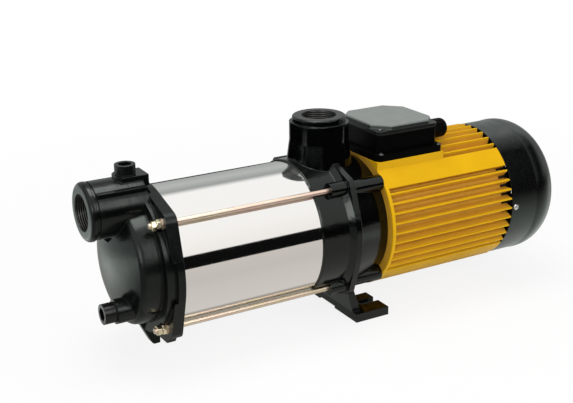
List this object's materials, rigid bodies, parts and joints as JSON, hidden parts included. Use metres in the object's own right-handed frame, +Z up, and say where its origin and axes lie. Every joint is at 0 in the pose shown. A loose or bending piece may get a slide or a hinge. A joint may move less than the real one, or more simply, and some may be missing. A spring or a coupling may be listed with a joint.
{
  "type": "horizontal multistage pump",
  "caption": "Horizontal close-coupled multistage water pump: axial threaded inlet, upright threaded outlet, polished sleeve held by tie rods, finned fan-cooled motor on a cast foot.",
  "frame": {"origin": "on the base plane, at the middle of the foot, under the shaft axis", "axes": "+X from the suction port along the shaft towards the motor fan, +Z up, the cable gland lies towards -Y"},
  "size_m": [0.5774, 0.168, 0.232],
  "materials": {
    "black_casting": "satin black stove paint on a fine sand-cast skin",
    "polished_stainless": "drawn stainless tube, polished",
    "stainless": "turned or pressed stainless steel",
    "zinc_steel": "yellow zinc plating",
    "wetted_plastic": "moulded glass-filled plastic",
    "neck_ring_plastic": "moulded plastic",
    "rubber": "moulded rubber",
    "seal_ceramic": "lapped alumina",
    "seal_carbon": "lapped carbon graphite",
    "bearing_steel": "ground bearing steel",
    "yellow_aluminium": "yellow paint on die-cast aluminium",
    "lamination_steel": "stacked laminations",
    "copper": "enamelled copper wire, varnished and laced",
    "black_plastic": "moulded plastic, fine grain",
    "block_plastic": "moulded phenolic with brass studs",
    "plug_metal": "satin black, like the casing"
  },
  "bodies": {
    "pump_body": {"suction_casing": "black_casting", "pump_shell": "polished_stainless", "shell_gaskets": "rubber", "tie_rods": "zinc_steel", "tie_rod_nuts": "zinc_steel", "tie_rod_washers": "zinc_steel", "discharge_casing": "black_casting", "stage_plate_1": "stainless", "stage_plate_2": "stainless", "stage_plate_3": "stainless", "stage_plate_4": "stainless", "diffuser_1": "wetted_plastic", "diffuser_2": "wetted_plastic", "diffuser_3": "wetted_plastic", "diffuser_4": "wetted_plastic", "neck_rings": "neck_ring_plastic", "seal_seat": "seal_ceramic", "seal_seat_cup": "rubber", "front_bearing_outer": "bearing_steel", "rear_bearing_outer": "bearing_steel", "wave_washer": "bearing_steel", "motor_housing": "yellow_aluminium", "stator_core": "lamination_steel", "windings": "copper", "rear_shield": "yellow_aluminium", "motor_bolts": "zinc_steel", "fan_cover": "black_plastic", "fan_cover_screws": "zinc_steel", "terminal_box": "black_plastic", "terminal_box_gasket": "rubber", "terminal_lid": "black_plastic", "terminal_lid_screws": "zinc_steel", "terminal_box_screws": "zinc_steel", "terminal_block": "block_plastic", "cable_gland": "black_plastic", "gland_nut": "black_plastic", "gland_seal": "rubber"},
    "rotor": {"shaft": "stainless", "impeller_1": "wetted_plastic", "impeller_2": "wetted_plastic", "impeller_3": "wetted_plastic", "impeller_4": "wetted_plastic", "impeller_spacers": "stainless", "impeller_nut": "stainless", "impeller_key": "stainless", "seal_face_ring": "seal_carbon", "seal_bellows": "rubber", "seal_spring": "stainless", "water_slinger": "rubber", "front_bearing_inner": "bearing_steel", "rear_bearing_inner": "bearing_steel", "rotor_core": "lamination_steel", "cooling_fan": "black_plastic", "fan_clip": "bearing_steel"},
    "front_balls": {"front_bearing_balls": "bearing_steel"},
    "rear_balls": {"rear_bearing_balls": "bearing_steel"},
    "filler_washer": {"filler_plug_seal": "rubber"},
    "filler_plug": {"filler_plug": "plug_metal"},
    "drain_washer": {"drain_plug_seal": "rubber"},
    "drain_plug": {"drain_plug": "plug_metal"}
  },
  "joints": [
    {"name": "shaft_spin", "type": "hinge", "parent": "pump_body", "child": "rotor", "pos_m": [0, 0, 0.106], "axis": [1, 0, 0], "continuous": true},
    {"name": "front_ball_orbit", "type": "hinge", "parent": "pump_body", "child": "front_balls", "pos_m": [0, 0, 0.106], "axis": [1, 0, 0], "continuous": true},
    {"name": "rear_ball_orbit", "type": "hinge", "parent": "pump_body", "child": "rear_balls", "pos_m": [0, 0, 0.106], "axis": [1, 0, 0], "continuous": true},
    {"name": "filler_rise", "type": "slide", "parent": "pump_body", "child": "filler_washer", "axis": [0, 0, 1], "range_m": [0, 0.00802]},
    {"name": "filler_turn", "type": "hinge", "parent": "filler_washer", "child": "filler_plug", "pos_m": [-0.2644, 0, 0.21], "axis": [0, 0, 1], "range_deg": [0, 2160]},
    {"name": "drain_rise", "type": "slide", "parent": "pump_body", "child": "drain_washer", "axis": [-1, 0, 0], "range_m": [0, 0.00802]},
    {"name": "drain_turn", "type": "hinge", "parent": "drain_washer", "child": "drain_plug", "pos_m": [-0.3, -0.03, 0.068], "axis": [-1, 0, 0], "range_deg": [0, 2160]}
  ],
  "couplings": [
    {"joint": "front_ball_orbit", "follows": "shaft_spin", "ratio": 0.3831},
    {"joint": "rear_ball_orbit", "follows": "shaft_spin", "ratio": 0.383},
    {"joint": "filler_rise", "follows": "filler_turn", "m_per_rad": 0.00021276},
    {"joint": "drain_rise", "follows": "drain_turn", "m_per_rad": 0.00021276}
  ]
}
